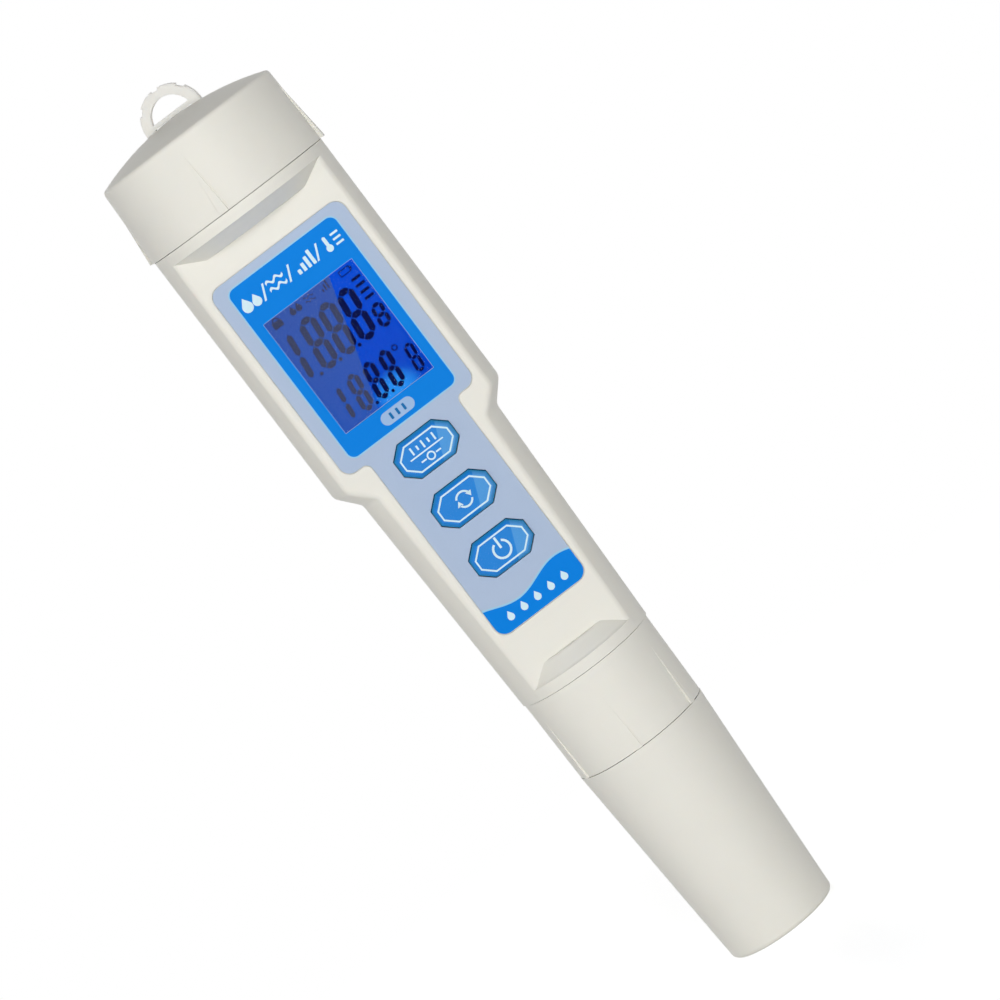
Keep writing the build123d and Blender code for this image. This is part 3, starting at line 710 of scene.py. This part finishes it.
def panel_prints():
    """Light outline, blue field with its window, and the pill with three plain marks."""
    height = panel_high - panel_low
    middle = (panel_low + panel_high) / 2
    edge = rounded(0, middle, 2 * panel_half, height, panel_corner)
    inner = 2 * (panel_half - film_line)
    field = rounded(0, middle, inner, height - 2 * film_line, panel_corner - film_line)
    window_width = 2 * window_half + window_overlap
    window_height = window_high - window_low + window_overlap
    window = rounded(0, window_middle, window_width, window_height, 0.1)
    add_print("panel_outline", [edge, field], ink_line)
    pill = rounded(0, pill_height, pill_width, pill_size, pill_size / 2 - 0.01)
    add_print("panel_field", [field, window, pill], ink_blue)
    add_print("pill_field", [pill], ink_pill)
    marks = [bar(x, pill_height, 0.5, 1.3) for x in (-1.4, 0, 1.4)]
    add_print("pill_marks", marks, ink_pill_mark, film_face - 2 * ink)


def title_prints():
    """Four plain signs with strokes between them: drop, ripple, levels, thermometer."""
    z = title_height
    size = title_size
    foot = z - size / 2
    rings = [drop(-10.1, z, size), drop(-8.1, z - 0.2, size * 0.85)]
    rings += [slash(x, z, size, 0.4) for x in (-6.2, -0.6, 5.6)]
    rings += [ripple(-3.4, z + rise, 3.6, 0.5, 0.34) for rise in (0.85, -0.6)]
    for step in range(4):
        tall = size * (step + 1.4) / 4.4
        rings += [bar(1.1 + 1.05 * step, foot + tall / 2, 0.65, tall)]
    rings += [thermometer(7.9, z, size * 1.05)]
    rings += [bar(10.0, z + rise, 1.6, 0.4) for rise in (1.0, 0.0, -1.0)]
    add_print("title_signs", rings, ink_white, film_face - 2 * ink)


def wave_height(x):
    """Upper edge of the blue field at the foot of the film, with its crest to the right."""
    turn = (x - wave_crest) / wave_half_length * math.pi
    return film_low.z + wave_middle + wave_rise * math.cos(turn)


def wave_prints():
    """Blue field at the foot of the film with its light edge and a row of drops."""
    half = film_foot_half
    steps = 28
    xs = [-half + 2 * half * step / steps for step in range(steps + 1)]
    corner = wave_corner
    foot = film_low.z + wave_margin
    base = arc(half - corner, foot + corner, corner, 0, -90, 7) + arc(
        corner - half, foot + corner, corner, -90, -180, 7
    )
    field = [(x, wave_height(x)) for x in xs] + base
    rim = [(x, wave_height(x) + wave_line_width) for x in xs]
    rim += [(x, wave_height(x)) for x in xs[::-1]]
    add_print("wave_field", [field], ink_blue)
    add_print("wave_line", [rim], ink_line)
    drops = [drop(x, film_low.z + 2.5, 1.9) for x in (-6, -3, 0, 3, 6)]
    add_print("wave_signs", drops, ink_white, film_face - 2 * ink)


# Keys


def key_prints():
    """Light line and sign on each key, which move with it."""
    front = key_face - ink
    for name, (low, high) in zip(key_names, key_spans):
        z = (low + high) / 2
        body = name + "_key"
        outer = chamfered(0, z, *key_line_outer)
        inner = chamfered(0, z, *key_line_inner)
        add_print(name + "_line", [outer, inner], ink_white, front, body)
        add_print(name + "_sign", key_signs[name](z), ink_white, front, body)


def calibrate_signs(z):
    """Scale with long and short strokes above a line, and a ring on a line below it."""
    upper, lower = z + 1.25, z - 1.35
    rings = [bar(0, z, 7.2, 0.26)]
    for place in range(-2, 3):
        tall = 1.5 if place % 2 == 0 else 0.9
        rings.append(bar(1.2 * place, upper, 0.36, tall))
    rings += [circle(0, lower, 0.85), circle(0, lower, 0.55)]
    rings += [bar(x, lower, 1.1, 0.3) for x in (-1.6, 1.6)]
    return rings


def mode_signs(z):
    """Two arrows that run round in a ring."""
    inner, outer, start = 1.25, 1.62, 25
    middle = (inner + outer) / 2
    rings = []
    for turn, bevel_shade in ((0, 1), (180, -1)):
        rings.append(band(0, z, inner, outer, start + turn, 180 - start + turn))
        angle = math.radians(start + turn)
        x, up = middle * math.cos(angle), z + middle * math.sin(angle)
        base = up + 0.1 * bevel_shade
        rings.append([(x - 0.6, base), (x + 0.6, base), (x + 0.1, up - 0.85 * bevel_shade)])
    return rings


def power_signs(z):
    """Open ring with an upright stroke."""
    return [band(0, z - 0.15, 1.42, 1.85, 118, 422), bar(0, z + 1.25, 0.44, 2.3)]


key_signs = {"calibrate": calibrate_signs, "mode": mode_signs, "power": power_signs}


# Display marks


def segment(start, end, thickness):
    """Six-sided segment of a digit between two points."""
    one, other = Vector(start), Vector(end)
    along = (other - one).normalized()
    bevel_shade = Vector((-along.y, along.x)) * thickness / 2
    reach = along * thickness / 2
    return [
        tuple(one),
        tuple(one + reach + bevel_shade),
        tuple(other - reach + bevel_shade),
        tuple(other),
        tuple(other - reach - bevel_shade),
        tuple(one + reach - bevel_shade),
    ]


def digit(x, z, width, height, thickness, which="abcdefg"):
    """Seven-segment digit by its lower left corner, leaning to the right."""
    inset = thickness / 2
    left, right = inset, width - inset
    low, middle, high = inset, height / 2, height - inset
    ends = {
        "a": ((left, high), (right, high)),
        "b": ((right, middle), (right, high)),
        "c": ((right, low), (right, middle)),
        "d": ((left, low), (right, low)),
        "e": ((left, low), (left, middle)),
        "f": ((left, middle), (left, high)),
        "g": ((left, middle), (right, middle)),
    }
    rings = []
    for key in which:
        start, end = Vector(ends[key][0]), Vector(ends[key][1])
        along = (end - start).normalized() * digit_gap
        ring = segment(start + along, end - along, thickness)
        rings.append([(x + px + pz * digit_slant, z + pz) for px, pz in ring])
    return rings


def upper_row():
    """Large digits with their points, and a small one at the end."""
    low, height, thickness = upper_digits, 10.2, 1.2
    rings = digit(-9.3, low, 1.4, height, thickness, "bc")
    for place in range(3):
        rings += digit(-6.2 + 4.25 * place, low, 3.6, height, thickness)
    rings += [circle(x, low + 0.35, 0.38, 12) for x in (-6.75, -2.5, 1.75)]
    return rings + digit(6.6, low, 2.45, 4.7, 0.75)


def lower_row():
    """Smaller digits with their points, a small ring and a last digit."""
    low, height, thickness = lower_digits, 7.3, 0.95
    rings = digit(-7.6, low, 1.2, height, thickness, "bc")
    for place in range(3):
        rings += digit(-5.0 + 3.55 * place, low, 2.6, height, thickness)
    rings += [circle(x, low + 0.3, 0.32, 12) for x in (-1.95, 1.6)]
    rings += [circle(6.4, low + 6.3, radius) for radius in (0.6, 0.36)]
    return rings + digit(7.0, low, 1.9, 5.6, 0.6)


def display_marks():
    """The two rows of digits and the small signs, on the face of the display."""
    rows = (
        ("display_upper_digits", upper_row()),
        ("display_lower_digits", lower_row()),
        ("display_signs", display_signs()),
    )
    for name, rings in rows:
        add_print(name, rings, crystal_ink, glass_face - ink)


def display_signs():
    """Lock, battery and plain marks along the top and the right of the display."""
    z = display_sign_row
    rings = [rounded(-7.7, z - 0.35, 2.0, 1.35, 0.15), band(-7.7, z + 0.3, 0.45, 0.72, 0, 180)]
    rings += [drop(-4.2, z, 1.7), drop(-2.9, z, 1.7)]
    rings += [ripple(-0.4, z + rise, 2.0, 0.24, 0.2) for rise in (0.4, -0.4)]
    for step in range(3):
        tall = 0.6 * (step + 1)
        rings.append(bar(2.4 + 0.6 * step, z - 0.7 + tall / 2, 0.34, tall))
    rings += [rounded(7.5, z, 2.3, 1.2, 0.12), rounded(7.5, z, 1.95, 0.85, 0.05)]
    rings += [bar(8.8, z, 0.25, 0.6)]
    rings += [bar(8.4, z - 2.1 - 1.35 * step, 1.9, 0.55) for step in range(4)]
    return rings


# Screw threads


def thread_tree():
    """Geometry Nodes tree for a screw thread: a ridge that winds up a cylinder."""
    tree = bpy.data.node_groups.new("screw_thread", "GeometryNodeTree")
    tree.interface.new_socket("Geometry", in_out="OUTPUT", socket_type="NodeSocketGeometry")
    inputs = ("Radius", "Height", "Turns", "Ridge Width", "Ridge Depth")
    for label in inputs:
        tree.interface.new_socket(label, in_out="INPUT", socket_type="NodeSocketFloat")
    tree.interface.new_socket("Finish", in_out="INPUT", socket_type="NodeSocketMaterial")
    given = tree.nodes.new("NodeGroupInput")
    spiral = tree.nodes.new("GeometryNodeCurveSpiral")
    spiral.inputs["Resolution"].default_value = 48
    link = tree.links.new
    link(given.outputs["Radius"], spiral.inputs["Start Radius"])
    link(given.outputs["Radius"], spiral.inputs["End Radius"])
    link(given.outputs["Height"], spiral.inputs["Height"])
    link(given.outputs["Turns"], spiral.inputs["Rotations"])
    profile = tree.nodes.new("GeometryNodeCurvePrimitiveQuadrilateral")
    profile.mode = "TRAPEZOID"
    profile.inputs["Offset"].default_value = 0.0
    link(given.outputs["Ridge Width"], profile.inputs["Bottom Width"])
    crest = tree.nodes.new("ShaderNodeMath")
    crest.operation = "MULTIPLY"
    crest.inputs[1].default_value = ridge_top_share
    link(given.outputs["Ridge Width"], crest.inputs[0])
    link(crest.outputs[0], profile.inputs["Top Width"])
    link(given.outputs["Ridge Depth"], profile.inputs["Height"])
    turned = tree.nodes.new("GeometryNodeTransform")
    turned.inputs["Rotation"].default_value = (0.0, 0.0, math.pi / 2)
    link(profile.outputs["Curve"], turned.inputs["Geometry"])
    sweep = tree.nodes.new("GeometryNodeCurveToMesh")
    sweep.inputs["Fill Caps"].default_value = True
    link(spiral.outputs["Curve"], sweep.inputs["Curve"])
    link(turned.outputs["Geometry"], sweep.inputs["Profile Curve"])
    real = tree.nodes.new("GeometryNodeRealizeInstances")
    link(sweep.outputs["Mesh"], real.inputs[0])
    paint = tree.nodes.new("GeometryNodeSetMaterial")
    link(real.outputs[0], paint.inputs["Geometry"])
    link(given.outputs["Finish"], paint.inputs["Material"])
    end = tree.nodes.new("NodeGroupOutput")
    link(paint.outputs["Geometry"], end.inputs[0])
    return tree


def set_input(modifier, label, value):
    """Sets a named input of a Geometry Nodes modifier by its identifier."""
    for item in modifier.node_group.interface.items_tree:
        if item.in_out == "INPUT" and item.name == label:
            modifier[item.identifier] = value


def add_thread(tree, thread, pitch, width, turn=0.0):
    """Winds one thread ridge on a body, about its radius.
    The spiral winds left-handed, and the profile tilts slowly as it goes up."""
    name, height = thread.name, thread.high - thread.low
    holder = bpy.data.objects.new(name, bpy.data.meshes.new(name))
    bpy.context.scene.collection.objects.link(holder)
    modifier = holder.modifiers.new("thread", "NODES")
    modifier.node_group = tree
    finish = finishes["ivory_shell"]
    set_input(modifier, "Radius", thread.radius * MM)
    set_input(modifier, "Height", height * MM)
    set_input(modifier, "Turns", height / pitch)
    set_input(modifier, "Ridge Width", width * MM)
    set_input(modifier, "Ridge Depth", ridge_depth * MM)
    set_input(modifier, "Finish", finish)
    holder.data.update()
    mesh = plain_mesh(holder, name)
    bpy.data.objects.remove(holder)
    lift = Matrix.Translation((0, 0, thread.low * MM))
    mesh.transform(lift @ Matrix.Rotation(math.radians(turn), 4, "Z"))
    add_piece(name, mesh, thread.body, finish)


def thread_pair(tree, outside, inside, pitch, width):
    """An outside and an inside thread, the inside one turned against the other.
    The turn is right for right-handed ridges. As these are left-handed, the two
    ridges lie closer than half a pitch."""
    turn = 360 * ((inside.low - outside.low) / pitch + 0.5)
    add_thread(tree, outside, pitch, width)
    add_thread(tree, inside, pitch, width, turn)


# Stage


def seen_directly(finish):
    """1 for the camera and in reflections and glass, 0 for other light."""
    seen = [
        finish.node("ShaderNodeLightPath", output=ray)
        for ray in ("Is Camera Ray", "Is Glossy Ray", "Is Transmission Ray")
    ]
    return finish.most(finish.most(seen[0], seen[1]), seen[2])


def stage_finish(name, strength, kept):
    """White for the camera and in reflections, a plain pale surface for other light.
    The shadow of the pen shows near it and fades out further away."""
    finish = Finish(name)
    plain = finish.node("ShaderNodeBsdfDiffuse", None, {"Color": colour(216, 216, 216)})
    dim = finish.node("ShaderNodeBsdfDiffuse", None, {"Color": (kept, kept, kept, 1)})
    glow = finish.node("ShaderNodeEmission", None, {"Color": (1, 1, 1, 1), "Strength": strength})
    near = finish.node("ShaderNodeAddShader", None, {0: dim, 1: glow})
    white = finish.node("ShaderNodeEmission", None, {"Color": (1, 1, 1, 1), "Strength": 1.0})
    x, y, z = finish.axes()
    far = finish.ease((x ** 2 + y ** 2) ** 0.5, shadow_reach, shadow_end)
    shown = finish.node("ShaderNodeMixShader", None, {0: far, 1: near, 2: white})
    both = finish.node("ShaderNodeMixShader", None, {0: seen_directly(finish), 1: plain, 2: shown})
    finish.node("ShaderNodeOutputMaterial", None, {"Surface": both})
    return finish.material


def make_floor():
    """Wide pale floor under the pen."""
    reach = 30.0
    mesh = bpy.data.meshes.new("floor")
    corners = [(-reach, -reach, 0), (reach, -reach, 0), (reach, reach, 0), (-reach, reach, 0)]
    mesh.from_pydata(corners, [], [(0, 1, 2, 3)])
    mesh.materials.append(stage_finish("floor_white", strength=0.6, kept=0.95))
    floor = bpy.data.objects.new("floor", mesh)
    bpy.context.scene.collection.objects.link(floor)


def make_world(level, overhead):
    """White behind the pen, a soft light on it that is dimmer from overhead."""
    world = bpy.data.worlds.new("studio")
    finish = Finish("studio", world)
    way = finish.node("ShaderNodeTexCoord", output="Generated")
    upwards = finish.node("ShaderNodeSeparateXYZ", None, {0: way}, "Z")
    strength = level + (overhead - level) * finish.ease(upwards, 0.0, 0.9)
    soft = finish.node("ShaderNodeBackground", None, {"Color": (1, 1, 1, 1), "Strength": strength})
    white = finish.node("ShaderNodeBackground", None, {"Color": (1, 1, 1, 1), "Strength": 1.0})
    both = finish.node("ShaderNodeMixShader", None, {0: seen_directly(finish), 1: soft, 2: white})
    finish.node("ShaderNodeOutputWorld", None, {"Surface": both})
    bpy.context.scene.world = world


def add_lamp(name, place, target, power, size):
    """Soft square lamp, in metres and watts, that isn't mirrored in the display."""
    data = bpy.data.lights.new(name, "AREA")
    data.energy = power
    data.size = size
    lamp = bpy.data.objects.new(name, data)
    lamp.location = place
    lamp.rotation_mode = "QUATERNION"
    lamp.rotation_quaternion = (Vector(target) - Vector(place)).to_track_quat("-Z", "Y")
    lamp.visible_glossy = False
    bpy.context.scene.collection.objects.link(lamp)


def make_lights():
    """Soft lamps in front, at the left, behind and low in front."""
    middle = (0, 0, 0.1)
    sensor_end = (0, 0, 0.05)
    add_lamp("front_lamp", (0.08, -0.95, 0.28), middle, 2.85, 0.35)
    add_lamp("left_lamp", (-0.8, -0.55, 0.1), middle, 2.0, 0.4)
    add_lamp("back_lamp", (-0.15, 0.95, 0.3), middle, 3.4, 0.4)
    add_lamp("low_lamp", (0.05, -0.85, 0.03), sensor_end, 2.5, 0.4)


def make_camera():
    """Camera of the photograph: its place, its turn about the view line and its lens."""
    azimuth, elevation, roll = (math.radians(angle) for angle in (-1.249, 6.076, -37.073))
    distance, aim = 0.82003, Vector((0.00519, 0, 0.09343))
    focal = 4.52713
    view = Matrix.Rotation(azimuth, 3, "Z") @ Vector((0, math.cos(elevation), -math.sin(elevation)))
    right = view.cross(Vector((0, 0, 1))).normalized()
    up = right.cross(view)
    across = right * math.cos(roll) + up * math.sin(roll)
    rise = up * math.cos(roll) - right * math.sin(roll)
    data = bpy.data.cameras.new("camera")
    data.sensor_width = 36.0
    data.lens = focal * data.sensor_width
    data.clip_start = 0.01
    data.clip_end = 200
    camera = bpy.data.objects.new("camera", data)
    turn = Matrix((across, rise, -view)).transposed()
    camera.matrix_world = Matrix.Translation(aim - view * distance) @ turn.to_4x4()
    bpy.context.scene.collection.objects.link(camera)
    bpy.context.scene.camera = camera


# The scene


make_camera()
make_floor()
make_world(level=0.5, overhead=0.15)
make_lights()
dress_nodes()
panel_prints()
title_prints()
wave_prints()
key_prints()
display_marks()
threads = thread_tree()
thread_pair(threads, neck_thread, cap_thread, cap_pitch, cap_ridge_width)
thread_pair(threads, spigot_thread, collar_thread, collar_pitch, collar_ridge_width)

bpy.context.scene.view_settings.view_transform = "Standard"
